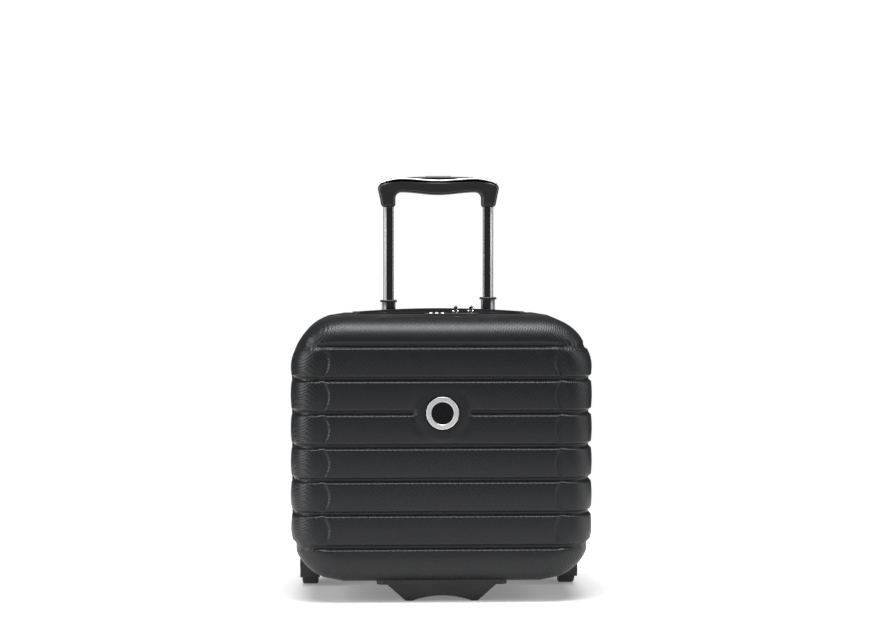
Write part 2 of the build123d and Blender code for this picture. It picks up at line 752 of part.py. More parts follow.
with BuildPart() as grip_accent_strip:
    with BuildSketch(Plane(origin=(0, tube_y, grip_split))):
        RectangleRounded(grip_width - 2 * accent_inset, grip_depth - 2 * accent_inset, grip_corner_radius)
        Rectangle(button_size[0] + 2 * sliding, button_size[1] + 2 * sliding, mode=Mode.SUBTRACT)
    extrude(amount=accent_height)
write(grip_accent_strip, "grip_accent_strip")

with BuildPart() as grip_top_cover:
    half = grip_width / 2
    shoulder = (cover_shoulder_share * half, grip_top - cover_shoulder_drop)
    arc_x = cover_arc_share[0] * half
    arc_z = cover_bottom + cover_arc_share[1] * (shoulder[1] - cover_bottom)
    with BuildSketch(upright_plane(grip_y_back, 0)):
        with BuildLine():
            Line((-half, cover_bottom), (half, cover_bottom))
            for x_side in (-1, 1):
                ThreePointArc(
                    (x_side * half, cover_bottom), (x_side * arc_x, arc_z), (x_side * shoulder[0], shoulder[1])
                )
            ThreePointArc((-shoulder[0], shoulder[1]), (0, grip_top), shoulder)
        make_face()
    extrude(amount=grip_depth)
    long_edges = grip_top_cover.faces().sort_by(Axis.Z)[-1].edges().filter_by(lambda e: e.length > half)
    fillet(long_edges, cover_edge_radius)
    with BuildSketch(Plane(origin=(0, tube_y, cover_bottom))):
        RectangleRounded(button_size[0] + 2 * sliding, button_size[1] + 2 * sliding, button_radius + sliding)
    extrude(amount=2 * (grip_top - cover_bottom), mode=Mode.SUBTRACT)
write(grip_top_cover, "grip_top_cover")

crossbar_top = button_bottom - button_travel
crossbar_bottom = crossbar_top - crossbar_height
with BuildPart() as release_button:
    with BuildSketch(Plane(origin=(0, tube_y, button_bottom))):
        RectangleRounded(*button_size, button_radius)
    extrude(amount=grip_top + button_stand - button_bottom)
    fillet(release_button.faces().sort_by(Axis.Z)[-1].edges(), button_edge_radius)
    with BuildSketch(Plane(origin=(0, tube_y, crossbar_top))):
        Rectangle(button_stem_length, crossbar_depth)
    extrude(amount=button_bottom - crossbar_top)
write(release_button, "release_button")

with BuildPart() as push_rods:
    with BuildSketch(Plane(origin=(0, tube_y, crossbar_bottom))):
        Rectangle(2 * (tube_x + push_rod_radius + crossbar_margin), crossbar_depth)
    extrude(amount=crossbar_height)
    rod_bottom = inner_tube_bottom + stub_height + button_travel + push_rod_end_gap
    with BuildSketch(Plane(origin=(0, tube_y, rod_bottom))):
        with Locations((-tube_x, 0), (tube_x, 0)):
            Circle(push_rod_radius)
    extrude(amount=crossbar_bottom - rod_bottom)
write(push_rods, "push_rods")

# ---- lock ----
with BuildPart() as lock_body:
    plate_y = lock_plate_back - lock_plate_size[1] / 2
    with BuildSketch(Plane(origin=(lock_centre_x, plate_y, case_top))):
        RectangleRounded(*lock_plate_size, lock_plate_radius)
    extrude(amount=lock_plate_height)
    fillet(lock_body.faces().sort_by(Axis.Z)[-1].edges(), lock_edge_radius)
    with BuildSketch(Plane(origin=(lock_centre_x, dial_y, case_top - lock_box_depth))):
        Rectangle(*lock_box_size)
    extrude(amount=lock_box_depth)
    dial_z = lock_top + dial_rise - dial_radius
    for x in dial_xs:
        with BuildSketch(Plane(origin=(x, dial_y, dial_z - dial_radius - dial_end_gap))):
            Rectangle(dial_width + 2 * dial_side_gap, 2 * (dial_radius + dial_end_gap))
        extrude(amount=3 * dial_radius, mode=Mode.SUBTRACT)
    spindle_start = min(dial_xs) - dial_width / 2 - spindle_overhang
    spindle_length = max(dial_xs) - min(dial_xs) + dial_width + 2 * spindle_overhang
    with BuildSketch(side_plane(spindle_start, dial_y, dial_z)):
        Circle(spindle_radius)
    extrude(amount=spindle_length, mode=Mode.SUBTRACT)
    slot_centre = slider_button_x + slider_button_travel / 2
    with BuildSketch(Plane(origin=(slot_centre, dial_y, lock_top - slider_button_sink))):
        slot_width = slider_button_size + 2 * slider_button_gap
        Rectangle(slot_width + slider_button_travel, slot_width)
    extrude(amount=lock_plate_height, mode=Mode.SUBTRACT)
    with BuildSketch(Plane(origin=(key_x, key_y, case_top - key_depth))):
        Circle(key_radius + running)
    extrude(amount=2 * key_depth, mode=Mode.SUBTRACT)
write(lock_body, "lock_body")

with BuildPart() as lock_spindle:
    with BuildSketch(side_plane(spindle_start, dial_y, dial_z)):
        Circle(spindle_radius)
    extrude(amount=spindle_length)
write(lock_spindle, "lock_spindle")

for i, x in enumerate(dial_xs, 1):
    with BuildPart() as dial:
        with BuildSketch(side_plane(x - dial_width / 2, dial_y, dial_z)):
            RegularPolygon(dial_radius, dial_facets)
            Circle(spindle_radius + running, mode=Mode.SUBTRACT)
        extrude(amount=dial_width)
    write(dial, f"lock_dial_{i}")

with BuildPart() as lock_release_slider:
    with BuildSketch(Plane(origin=(slider_button_x, dial_y, lock_top - slider_button_sink))):
        RectangleRounded(slider_button_size, slider_button_size, slider_button_radius)
    extrude(amount=slider_button_height)
write(lock_release_slider, "lock_release_slider")

with BuildPart() as lock_key_cylinder:
    with BuildSketch(Plane(origin=(key_x, key_y, case_top - key_depth))):
        Circle(key_radius)
    extrude(amount=lock_top - case_top + key_depth + key_stand)
    with BuildSketch(Plane(origin=(key_x, key_y, case_top - keyhole_depth))):
        SlotOverall(*keyhole_size)
    extrude(amount=2 * keyhole_depth, mode=Mode.SUBTRACT)
write(lock_key_cylinder, "lock_key_cylinder")

# ---- zip sliders and pulls ----
lug_half = pull_width / 2 + pull_lug_gap
pull_pin_z = lock_top + pull_pin_stand
for x, end in ((left_slider_x, "left"), (right_slider_x, "right")):
    upper = tape_outer + slider_gap
    lower = tape_inner - slider_gap
    with BuildPart() as zip_slider:
        for z in (upper, lower - slider_plate):
            with BuildSketch(Plane(origin=(x, 0, z))):
                RectangleRounded(slider_length, 2 * (zip_gap - sliding), slider_corner_radius)
            extrude(amount=slider_plate)
        with BuildSketch(Plane(origin=(x, 0, lower))):
            Rectangle(*slider_post)
        extrude(amount=upper - lower)
        lug_top = pull_pin_z - upper - slider_plate
        half = pull_lug_radius
        for lug_x in (x - lug_half - pull_lug_thickness, x + lug_half):
            with BuildSketch(side_plane(lug_x, 0, upper + slider_plate)):
                with BuildLine():
                    Polyline((-half, lug_top), (-half, 0), (half, 0), (half, lug_top))
                    ThreePointArc((half, lug_top), (0, lug_top + half), (-half, lug_top))
                make_face()
            extrude(amount=pull_lug_thickness)
        with BuildSketch(side_plane(x - lug_half, 0, pull_pin_z)):
            Circle(pull_pin_radius)
        extrude(amount=2 * lug_half)
    write(zip_slider, f"zip_slider_{end}")

    with BuildPart() as zip_pull:
        tilt = (0, sin(radians(pull_lift_deg)), cos(radians(pull_lift_deg)))
        middle = Plane(origin=(x, 0, pull_pin_z), x_dir=(1, 0, 0), z_dir=tilt)
        with BuildSketch(middle.offset(-pull_thickness / 2)):
            with Locations((0, -pull_length / 2)):
                RectangleRounded(pull_width, pull_length, pull_corner_radius)
        extrude(amount=pull_thickness)
        with BuildSketch(side_plane(x - pull_width / 2, 0, pull_pin_z)):
            Circle(pull_eye_radius)
        extrude(amount=pull_width)
        with BuildSketch(side_plane(x - pull_width / 2, 0, pull_pin_z)):
            Circle(pull_pin_radius + running)
        extrude(amount=pull_width, mode=Mode.SUBTRACT)
    write(zip_pull, f"zip_pull_{end}")
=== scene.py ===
"""Looks for the ribbed hard-shell rolling case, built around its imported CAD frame.
Shapes are worked out in millimetres and stored in metres; materials, lights and the camera are in metres."""

from math import asin, cos, pi, radians, sin

import bmesh
import bpy
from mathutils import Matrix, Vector


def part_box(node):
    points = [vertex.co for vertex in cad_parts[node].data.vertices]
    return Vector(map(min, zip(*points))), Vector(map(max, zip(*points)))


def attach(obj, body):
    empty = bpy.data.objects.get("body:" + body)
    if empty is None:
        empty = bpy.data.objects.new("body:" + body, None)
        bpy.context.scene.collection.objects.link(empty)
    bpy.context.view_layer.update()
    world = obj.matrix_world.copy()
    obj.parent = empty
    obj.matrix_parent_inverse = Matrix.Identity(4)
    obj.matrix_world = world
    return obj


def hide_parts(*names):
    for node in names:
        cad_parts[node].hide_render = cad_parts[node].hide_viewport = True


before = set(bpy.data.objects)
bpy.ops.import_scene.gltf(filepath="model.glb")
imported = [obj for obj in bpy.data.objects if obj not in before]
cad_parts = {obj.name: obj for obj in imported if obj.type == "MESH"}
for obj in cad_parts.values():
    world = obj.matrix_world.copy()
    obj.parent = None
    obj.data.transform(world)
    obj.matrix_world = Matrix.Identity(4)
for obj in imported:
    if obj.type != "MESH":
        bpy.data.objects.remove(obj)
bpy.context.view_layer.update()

MM = 0.001


def span(node):
    """Lowest and highest corner of a CAD node in millimetres."""
    low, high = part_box(node)
    return [v / MM for v in low], [v / MM for v in high]


# ---- the case's form, in millimetres ----
shell_low, shell_high = span("front_shell")
half_width = shell_high[0]
mid_z = (shell_low[2] + shell_high[2]) / 2
half_height = (shell_high[2] - shell_low[2]) / 2
half_depth = -shell_low[1]
rim_y = -shell_high[1]
corner = 75.0
flat_x, flat_z = half_width - corner, half_height - corner
front_edge, rear_edge = 40.0, 24.0
wall = 2.0
skin_deepest = 6.5

# ---- the grooves and the crowned ribs between them; a pair is where a smooth step begins and ends ----
groove_count = 7
top_band, bottom_band = 39.9, 52.5
groove_pitch = (2 * half_height - top_band - bottom_band) / (groove_count - 1)
groove_zs = [shell_low[2] + bottom_band + groove_pitch * k for k in range(groove_count)]
groove_depth = 3.3
groove_mouth = (1.6, 5.2)
groove_start = (24.0, 31.0)
crown_drop = 1.8
rear_panel_edge = (98.0, 104.0)

# ---- the rounded caps at the front ribs' ends ----
cap_drop = 2.4
cap_start = 158.5
cap_bulge = 9.0
cap_step = (-1.0, 3.0)
cap_run_out = (4.0, 22.0)
cap_bottom = (-4.0, 3.0)
cap_top = (-3.0, 4.0)

# ---- the plain pad round the badge and the dimples beside it ----
badge_low, badge_high = span("badge_ring")
badge_z = (badge_low[2] + badge_high[2]) / 2
pad_radius = 36.0
pad_blend = 6.0
dimple_depth = 0.9
dimple_step = (-4.0, 1.0)
dimple_run_out = (4.0, 14.0)
dimple_slope = (0.55, 0.9)
tiny = 0.01

# ---- the linings ----
lining_insets = (7.0, 7.6)
lining_deepest = 8.5
lining_rim = 12.0
lining_mesh = 2.0
pucker_rest, pucker_swing = 0.45, 0.3

# the six faces of a box whose corners come from three nested loops of two
box_faces = ((0, 1, 3, 2), (4, 6, 7, 5), (0, 4, 5, 1), (2, 3, 7, 6), (0, 2, 6, 4), (1, 5, 7, 3))


# ---- helpers ----
def smooth(low, high, value):
    """0 below low, 1 above high and an eased step between them."""
    t = min(max((value - low) / (high - low), 0.0), 1.0)
    return t * t * (3 - 2 * t)


def make_object(name, vertices, faces, mat, smooth_faces=True):
    """A mesh object from points in millimetres."""
    mesh = bpy.data.meshes.new(name)
    mesh.from_pydata([tuple(c * MM for c in v) for v in vertices], [], faces)
    mesh.update()
    obj = bpy.data.objects.new(name, mesh)
    bpy.context.scene.collection.objects.link(obj)
    obj.data.materials.append(mat)
    for polygon in mesh.polygons:
        polygon.use_smooth = smooth_faces
    return obj


def outward(obj):
    """Turns every face of a closed mesh outward."""
    bm = bmesh.new()
    bm.from_mesh(obj.data)
    bmesh.ops.recalc_face_normals(bm, faces=bm.faces)
    bm.to_mesh(obj.data)
    bm.free()
    return obj


def apply_modifiers(obj):
    """Bakes an object's modifiers into its mesh."""
    graph = bpy.context.evaluated_depsgraph_get()
    mesh = bpy.data.meshes.new_from_object(obj.evaluated_get(graph))
    obj.modifiers.clear()
    obj.data = mesh
    return obj


def place(piece, body, slot_name, *replaced):
    """Rides a piece on its body and hides what it replaces; slot_name is not used."""
    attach(piece, body)
    if replaced:
        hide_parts(*replaced)


def prism_faces(count):
    """Faces that close two like outlines of count points: both ends, then the sides."""
    faces = [tuple(range(count)), tuple(range(2 * count - 1, count - 1, -1))]
    faces += [(k, (k + 1) % count, count + (k + 1) % count, count + k) for k in range(count)]
    return faces


def ring_faces(first, second):
    """Faces between two closed rings of vertex numbers."""
    count = len(first)
    return [(first[i], second[i], second[(i + 1) % count], first[(i + 1) % count]) for i in range(count)]


def circle(radius, count):
    """Points evenly round a circle."""
    return [(radius * cos(2 * pi * k / count), radius * sin(2 * pi * k / count)) for k in range(count)]


# ---- materials ----
def material(name, color, roughness, metallic=0.0, **sockets):
    """A Principled material; returns it with its node tree and shader."""
    mat = bpy.data.materials.new(name)
    mat.use_nodes = True
    shader = mat.node_tree.nodes["Principled BSDF"]
    shader.inputs["Base Color"].default_value = (*color, 1)
    shader.inputs["Roughness"].default_value = roughness
    shader.inputs["Metallic"].default_value = metallic
    for socket, value in sockets.items():
        shader.inputs[socket.replace("_", " ")].default_value = value
    return mat, mat.node_tree, shader


def object_point(tree):
    return tree.nodes.new("ShaderNodeTexCoord").outputs["Object"]


def object_axes(tree):
    """The object point's X, Y and Z as three outputs."""
    split = tree.nodes.new("ShaderNodeSeparateXYZ")
    tree.links.new(object_point(tree), split.inputs[0])
    return split.outputs


def math_node(tree, operation, a, b=None):
    """One Math node on sockets or numbers; returns its output."""
    made = tree.nodes.new("ShaderNodeMath")
    made.operation = operation
    for slot, value in zip(made.inputs, (a, b)):
        if value is None:
            continue
        if isinstance(value, (int, float)):
            slot.default_value = value
        else:
            tree.links.new(value, slot)
    return made.outputs[0]


def noise(tree, scale, detail, vector=None):
    made = tree.nodes.new("ShaderNodeTexNoise")
    made.inputs["Scale"].default_value = scale
    made.inputs["Detail"].default_value = detail
    tree.links.new(vector or object_point(tree), made.inputs["Vector"])
    return made.outputs["Fac"]


def bump(tree, shader, height, distance, strength):
    made = tree.nodes.new("ShaderNodeBump")
    made.inputs["Strength"].default_value = strength
    made.inputs["Distance"].default_value = distance
    tree.links.new(height, made.inputs["Height"])
    tree.links.new(made.outputs["Normal"], shader.inputs["Normal"])


def vary(tree, shader, socket, fac, low, high):
    """Drives a socket between two numbers or colours by a 0 to 1 value."""
    if socket == "Base Color":
        ramp = tree.nodes.new("ShaderNodeMix")
        ramp.data_type = "RGBA"
        ramp.inputs["A"].default_value = (*low, 1)
        ramp.inputs["B"].default_value = (*high, 1)
        tree.links.new(fac, ramp.inputs["Factor"])
        tree.links.new(ramp.outputs["Result"], shader.inputs[socket])
        return
    ramp = tree.nodes.new("ShaderNodeMapRange")
    ramp.inputs["To Min"].default_value = low
    ramp.inputs["To Max"].default_value = high
    tree.links.new(fac, ramp.inputs["Value"])
    tree.links.new(ramp.outputs["Result"], shader.inputs[socket])


def embossed_shell(name, color, specular, pitch, depth):
    """Black polycarbonate embossed with a fine diagonal twill, broken up by a wave of twice its pitch."""
    rough_low, rough_high, gloss_scale = 0.30, 0.44, 60
    plain_height, wave_height = 0.8, 0.45
    mat, tree, shader = material(name, color, rough_low, Specular_IOR_Level=specular)
    x, y, z = object_axes(tree)
    across = math_node(tree, "ADD", x, y)
    turn = 2 * pi / pitch
    rising = math_node(tree, "MULTIPLY", math_node(tree, "SUBTRACT", across, z), turn)
    falling = math_node(tree, "MULTIPLY", math_node(tree, "ADD", across, z), turn * 0.5)
    ridge = math_node(tree, "SINE", rising)
    wave = math_node(tree, "MULTIPLY", math_node(tree, "SINE", falling), wave_height)
    height = math_node(tree, "MULTIPLY", ridge, math_node(tree, "ADD", wave, plain_height))
    bump(tree, shader, height, depth, 0.8)
    vary(tree, shader, "Roughness", noise(tree, gloss_scale, 5), rough_low, rough_high)
    return mat


def moulded(name, color, rough_low, rough_high, grain=900, depth=0.00008):
    """Moulded plastic or rubber with a fine grain and uneven gloss."""
    gloss_scale, tone_scale, darkest = 45, 25, 0.8
    mat, tree, shader = material(name, color, rough_low)
    bump(tree, shader, noise(tree, grain, 2), depth, 0.6)
    vary(tree, shader, "Roughness", noise(tree, gloss_scale, 4), rough_low, rough_high)
    dark = tuple(c * darkest for c in color)
    vary(tree, shader, "Base Color", noise(tree, tone_scale, 3), dark, color)
    return mat


def drawn_marks(tree, shader, stretch):
    """Fine marks in a metal, in relief too; a stretch below 1 draws them out along that axis."""
    spread = tree.nodes.new("ShaderNodeMapping")
    spread.inputs["Scale"].default_value = stretch
    tree.links.new(object_point(tree), spread.inputs["Vector"])
    marks_scale, marks_depth = 400, 0.00002
    marks = noise(tree, marks_scale, 4, spread.outputs["Vector"])
    bump(tree, shader, marks, marks_depth, 0.4)
    return marks


def metal(name, color, rough_low, rough_high, stretch=(1, 1, 1)):
    """Metal with drawn or polished marks."""
    mat, tree, shader = material(name, color, rough_low, 1.0)
    marks = drawn_marks(tree, shader, stretch)
    vary(tree, shader, "Roughness", marks, rough_low, rough_high)
    return mat


down_the_tube = (1, 1, 0.02)


def tube_with_painted_highlight(name, tube, highlight_far, highlight_near):
    """Dark anodised tube with a painted highlight down its outer side: a bright, rougher band of base colour
    that stands in for a softbox's reflection.
    The painted highlight lies between two distances in from the tube's outer edge, in millimetres."""
    # the second colour is the painted highlight's, not the metal's own
    dark, bright = (0.16, 0.16, 0.165), (0.96, 0.96, 0.96)
    plain_rough, highlight_rough, marks_rough = 0.14, 0.34, 0.1
    outer_edge = span(tube)[1][0]
    mat, tree, shader = material(name, dark, plain_rough, 1.0)
    marks = drawn_marks(tree, shader, down_the_tube)
    from_middle = math_node(tree, "ABSOLUTE", object_axes(tree)[0])
    past_far = math_node(tree, "GREATER_THAN", from_middle, (outer_edge - highlight_far) * MM)
    before_near = math_node(tree, "LESS_THAN", from_middle, (outer_edge - highlight_near) * MM)
    # painted highlight: this band's bright base colour stands in for the reflection of a softbox
    painted_highlight = math_node(tree, "MULTIPLY", past_far, before_near)
    vary(tree, shader, "Base Color", painted_highlight, dark, bright)
    fine = math_node(tree, "MULTIPLY", marks, marks_rough)
    rough = math_node(tree, "ADD", math_node(tree, "MULTIPLY", painted_highlight, highlight_rough), fine)
    tree.links.new(math_node(tree, "ADD", rough, plain_rough), shader.inputs["Roughness"])
    return mat


def woven(name, color, pitch):
    """Cloth with a plain weave of the given thread pitch."""
    relief, thread_tone, tone_scale, darkest = 0.25, 0.3, 30, 0.6
    mat, tree, shader = material(name, color, 0.85, Sheen_Weight=0.3)
    x, y, z = object_axes(tree)
    turn = 2 * pi / pitch
    warp = math_node(tree, "MULTIPLY", math_node(tree, "ADD", x, y), turn)
    weft = math_node(tree, "MULTIPLY", z, turn)
    height = math_node(tree, "MULTIPLY", math_node(tree, "SINE", warp), math_node(tree, "SINE", weft))
    bump(tree, shader, height, pitch * relief, 0.7)
    threads = math_node(tree, "MULTIPLY", height, thread_tone)
    fac = math_node(tree, "ADD", threads, noise(tree, tone_scale, 3))
    vary(tree, shader, "Base Color", fac, tuple(c * darkest for c in color), color)
    return mat


shell_mat = embossed_shell("shell_polycarbonate", (0.008, 0.0085, 0.0095), 0.28, pitch=0.0038, depth=0.00016)
trim_mat = moulded("trim_plastic", (0.012, 0.012, 0.013), 0.38, 0.55)
foot_mat = moulded("foot_plastic", (0.009, 0.009, 0.0095), 0.5, 0.7)
grip_mat = moulded("grip_plastic", (0.012, 0.012, 0.013), 0.28, 0.4)
cover_mat = moulded("grip_cover_plastic", (0.13, 0.135, 0.14), 0.3, 0.45)
tyre_mat = moulded("tyre_rubber", (0.014, 0.014, 0.014), 0.6, 0.85, grain=500, depth=0.00015)
hub_mat = moulded("hub_nylon", (0.04, 0.04, 0.043), 0.4, 0.6)
dial_mat = moulded("dial_plastic", (0.62, 0.62, 0.6), 0.4, 0.5)
badge_mat = moulded("badge_gloss", (0.006, 0.006, 0.007), 0.06, 0.12, grain=60, depth=0.00001)
lining_mat = woven("lining_cloth", (0.05, 0.052, 0.056), 0.0016)
tape_mat = woven("zip_tape_cloth", (0.015, 0.015, 0.016), 0.0009)
teeth_mat = moulded("zip_teeth_nylon", (0.02, 0.02, 0.021), 0.35, 0.5)
chrome_mat = metal("plated_chrome", (0.82, 0.82, 0.83), 0.06, 0.16)
# both tubes carry a painted highlight: a bright band of base colour down their outer sides
inner_tube_mat = tube_with_painted_highlight("inner_tube_aluminium", "inner_tube_right", 4.6, 1.9)
middle_tube_mat = tube_with_painted_highlight("middle_tube_aluminium", "middle_tube_right", 6.5, 2.8)
satin_mat = metal("satin_metal", (0.92, 0.92, 0.92), 0.3, 0.42)
outer_tube_mat = metal("outer_tube_aluminium", (0.1, 0.1, 0.105), 0.25, 0.4, down_the_tube)
steel_mat = metal("bright_steel", (0.5, 0.5, 0.51), 0.2, 0.35)

pieces_of = (
    (shell_mat, ("front_shell", "rear_shell")),
    (trim_mat, ("front_rim", "rear_rim", "top_console", "trolley_foot", "lock_body", "carry_handle",
                "wheel_housing", "middle_collar", "middle_bush", "latch_block")),
    (foot_mat, ("front_foot", "foot_base")),
    (lining_mat, ("front_lining", "rear_lining", "hinge_tape")),
    (tape_mat, ("zip_tape",)),
    (badge_mat, ("badge_base",)),
    (satin_mat, ("badge_ring", "grip_accent")),
    (chrome_mat, ("lock_key", "zip_slider", "zip_pull")),
    (dial_mat, ("lock_dial",)),
    (grip_mat, ("grip_body", "lock_release")),
    (cover_mat, ("grip_top", "release_button")),
    (inner_tube_mat, ("inner_tube",)),
    (middle_tube_mat, ("middle_tube",)),
    (outer_tube_mat, ("trolley_outer",)),
    (tyre_mat, ("wheel_tyre",)),
    (hub_mat, ("wheel_hub",)),
    (steel_mat, ("wheel_axle", "wheel_bearings", "latch_pin", "foot_screws", "grip_screws", "push_rods",
                 "lock_spindle")),
)
for name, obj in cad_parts.items():
    for mat, prefixes in pieces_of:
        if name.startswith(prefixes):
            obj.data.materials.clear()
            obj.data.materials.append(mat)


# ---- half shells: a face grid inside outline loops ----
coarse_rows, groove_zone = 2.6, 7.5
coarse_columns, fine_columns, cap_zone = 58, 200, 0.06
bend_rings, wall_rings = 34, 14


def levels(low, high, coarse, fine, centres, reach):
    """Rising values from low to high, fine steps within reach of each centre and coarse ones elsewhere."""
    values = [low]
    while values[-1] < high - fine / 2:
        near = any(abs(values[-1] - c) < reach for c in centres)
        values.append(min(values[-1] + (fine if near else coarse), high))
    return values


def shell_points(edge, rows, columns, turns, wall_ys, depth):
    """Points of a half shell's outer form: the face grid and the loops round it.
    Each loop station is a straight place or a corner angle, so that every loop has the same stations."""

    def side_station(z):
        over = abs(z) - flat_z
        if over <= 0:
            return z, None
        angle = asin(min(over / (corner - edge), 1.0))
        return None, angle if z > 0 else -angle

    def side_point(station, shy):
        z, angle = station
        if angle is None:
            return half_width - shy, z
        radius = corner - shy
        return flat_x + radius * cos(angle), (flat_z if angle > 0 else -flat_z) + radius * sin(angle)

    stations = [side_station(z) for z in rows]
    grid = []
    for row, station in zip(rows, stations):
        reach = side_point(station, edge)[0]
        grid.append([(reach * u, -depth, mid_z + row) for u in columns])
    loops = []
    profile = [(edge * (1 - cos(t)), depth - edge + edge * sin(t)) for t in turns]
    profile += [(0, y) for y in wall_ys]
    for shy, y in profile:
        right = [side_point(s, shy) for s in stations]
        top = [(flat_x * u, half_height - shy) for u in columns]
        ring = list(right)
        ring += reversed(top[1:-1])
        ring += [(-x, z) for x, z in reversed(right)]
        ring += [(x, -z) for x, z in top[1:-1]]
        loops.append([(x, -y, mid_z + z) for x, z in ring])
    return grid, loops


def form_normal(x, y, z, edge, depth):
    """The outward direction of the half shell's form at one of its points."""
    core_y = -(depth - edge)
    ax, az = abs(x), abs(z - mid_z)
    if ax > flat_x and az > flat_z:
        across = Vector((ax - flat_x, 0, az - flat_z)).normalized()
    elif ax - half_width > az - half_height:
        across = Vector((1, 0, 0))
    else:
        across = Vector((0, 0, 1))
    across.x *= 1 if x > 0 else -1
    across.z *= 1 if z > mid_z else -1
    out = min(max((core_y - y) / edge, 0.0), 1.0)
    return across * (1 - out * out) ** 0.5 + Vector((0, -out, 0))


def rib_relief(y, z):
    """How deep the grooves and crowns are at a place, and how near it is to a groove's middle, 0 to 1."""
    gap = min(abs(z - g) for g in groove_zs)
    near = max(1 - gap / (groove_pitch / 2), 0.0)
    groove = groove_depth * (1 - smooth(*groove_mouth, gap))
    return (groove + crown_drop * near ** 2) * smooth(*groove_start, -y), near


def front_relief(x, y, z):
    """How far the front's surface lies below its plain form, in millimetres."""
    ribs, near = rib_relief(y, z)
    from_badge = (x ** 2 + (z - badge_z) ** 2) ** 0.5
    past_pad = from_badge - pad_radius
    past_cap = abs(x) - cap_start - cap_bulge * near ** 2
    cap = cap_drop * smooth(*cap_step, past_cap) * (1 - smooth(*cap_run_out, past_cap))
    cap *= smooth(*cap_bottom, z - groove_zs[0]) * (1 - smooth(*cap_top, z - groove_zs[-1]))
    dimple = dimple_depth * smooth(*dimple_step, past_pad) * (1 - smooth(*dimple_run_out, past_pad))
    dimple *= 1 - smooth(*dimple_slope, abs(z - badge_z) / (from_badge + tiny))
    return max(ribs * smooth(0.0, pad_blend, past_pad), cap) + dimple


def rear_relief(x, y, z):
    """The same for the back, where a plain panel covers the tubes."""
    return rib_relief(y, z)[0] * smooth(*rear_panel_edge, abs(x))


def build_shell(name, side, edge, relief, mat, insets=(0.0, wall), depth=half_depth, rim=rim_y, fine=1.0,
                deepest=skin_deepest):
    """A closed half shell between two insets: outer skin, inner skin and the rim that joins them.
    No point lies further in than deepest, so that the grooves stay clear of what is inside."""
    reach_z = half_height - edge
    gaps = [g - mid_z for g in groove_zs]
    rows = levels(-reach_z, reach_z, coarse_rows * fine, fine, gaps, groove_zone)
    cap_at = (cap_start + cap_bulge / 2) / (half_width - edge)
    columns = levels(-1.0, 1.0, fine / coarse_columns, fine / fine_columns, (-cap_at, cap_at), cap_zone)
    bends = round(bend_rings / fine)
    turns = [pi / 2 * (1 - k / bends) for k in range(1, bends)]
    wall_ys = [depth - edge - k * (depth - edge - rim) / wall_rings for k in range(wall_rings + 1)]
    grid, loops = shell_points(edge, rows, columns, turns, wall_ys, depth)
    vertices, faces, skins = [], [], []
    for inset in insets:
        ids = []
        for line in grid + loops:
            line_ids = []
            for x, y, z in line:
                drop = min(relief(x, y, z) + inset, deepest)
                point = Vector((x, y, z)) - form_normal(x, y, z, edge, depth) * drop
                line_ids.append(len(vertices))
                vertices.append((point.x, point.y * side, point.z))
            ids.append(line_ids)
        face_rows, rings = ids[: len(grid)], ids[len(grid):]
        border = [row[-1] for row in face_rows]
        border += list(reversed(face_rows[-1][1:-1]))
        border += [row[0] for row in reversed(face_rows)]
        border += face_rows[0][1:-1]
        rings = [border] + rings
        for low, high in zip(face_rows, face_rows[1:]):
            faces += [(low[i], low[i + 1], high[i + 1], high[i]) for i in range(len(low) - 1)]
        for inner, outer in zip(rings, rings[1:]):
            faces += ring_faces(inner, outer)
        skins.append(rings[-1])
    faces += ring_faces(*skins)
    return outward(make_object(name, vertices, faces, mat))


# ---- what is cut out of the shells and the linings ----
drum_sides = 96


def cutter_box(low, high):
    """A plain box used only to cut."""
    corners = [(x, y, z) for x in (low[0], high[0]) for y in (low[1], high[1]) for z in (low[2], high[2])]
    return outward(make_object("cutter", corners, box_faces, shell_mat, False))


def cutter_drum(centre, radius, half_length):
    """A plain drum along X used only to cut."""
    ring = circle(radius, drum_sides)
    vertices = [(centre[0] + s * half_length, centre[1] + y, centre[2] + z) for s in (-1, 1) for y, z in ring]
    return outward(make_object("cutter", vertices, prism_faces(len(ring)), shell_mat, False))


def cut(obj, cutter):
    """Cuts the cutter out of obj and removes the cutter."""
    step = obj.modifiers.new("cut", "BOOLEAN")
    step.operation = "DIFFERENCE"
    step.solver = "EXACT"
    step.object = cutter
    apply_modifiers(obj)
    bpy.data.objects.remove(cutter)


def cut_for_wheels(obj, room, raised=0.0):
    """Cuts a drum round each wheel housing, larger by room and raised by raised."""
    for end in ("left", "right"):
        low, high = span(f"wheel_housing_{end}")
        drum = (high[1] - low[1]) / 2 + room
        centre = ((low[0] + high[0]) / 2, (low[1] + high[1]) / 2, high[2] - drum + raised)
        cut(obj, cutter_drum(centre, drum, (high[0] - low[0]) / 2 + room))


console_low, console_high = span("top_console")
lock_low, lock_high = span("lock_body")
above_console = 5.0
housing_room, lining_room = 0.1, 3.0

front = build_shell("front_shell_skin", 1, front_edge, front_relief, shell_mat)
place(front, "front_case", "shell", "front_shell")

rear = build_shell("rear_shell_skin", -1, rear_edge, rear_relief, shell_mat)
console_lap, console_depth = 1.0, 12.0
cut(rear, cutter_box((console_low[0] + console_lap, console_low[1] + console_lap,
                      console_high[2] - console_depth),
                     (console_high[0] - console_lap, console_high[1] - console_lap,
                      console_high[2] + above_console)))
cut_for_wheels(rear, housing_room)
place(rear, "rear_case", "shell", "rear_shell")


# ---- linings: thin cloth trays that pucker between their glue points ----
def pucker(x, y, z):
    """Soft wrinkles of the lining, in millimetres inward: wandering crossed waves and a finer slanted one."""
    crossed = sin(x / 23 + 1.3 * sin(z / 61)) * sin(z / 31 + 0.9 * sin(x / 47))
    slanting = sin((x + z) / 13 + y / 9)
    return pucker_rest + pucker_swing * (crossed + 0.5 * slanting)


def build_lining(name, side, edge, depth):
    return build_shell(name, side, edge, pucker, lining_mat, lining_insets, depth, lining_rim, lining_mesh,
                       lining_deepest)


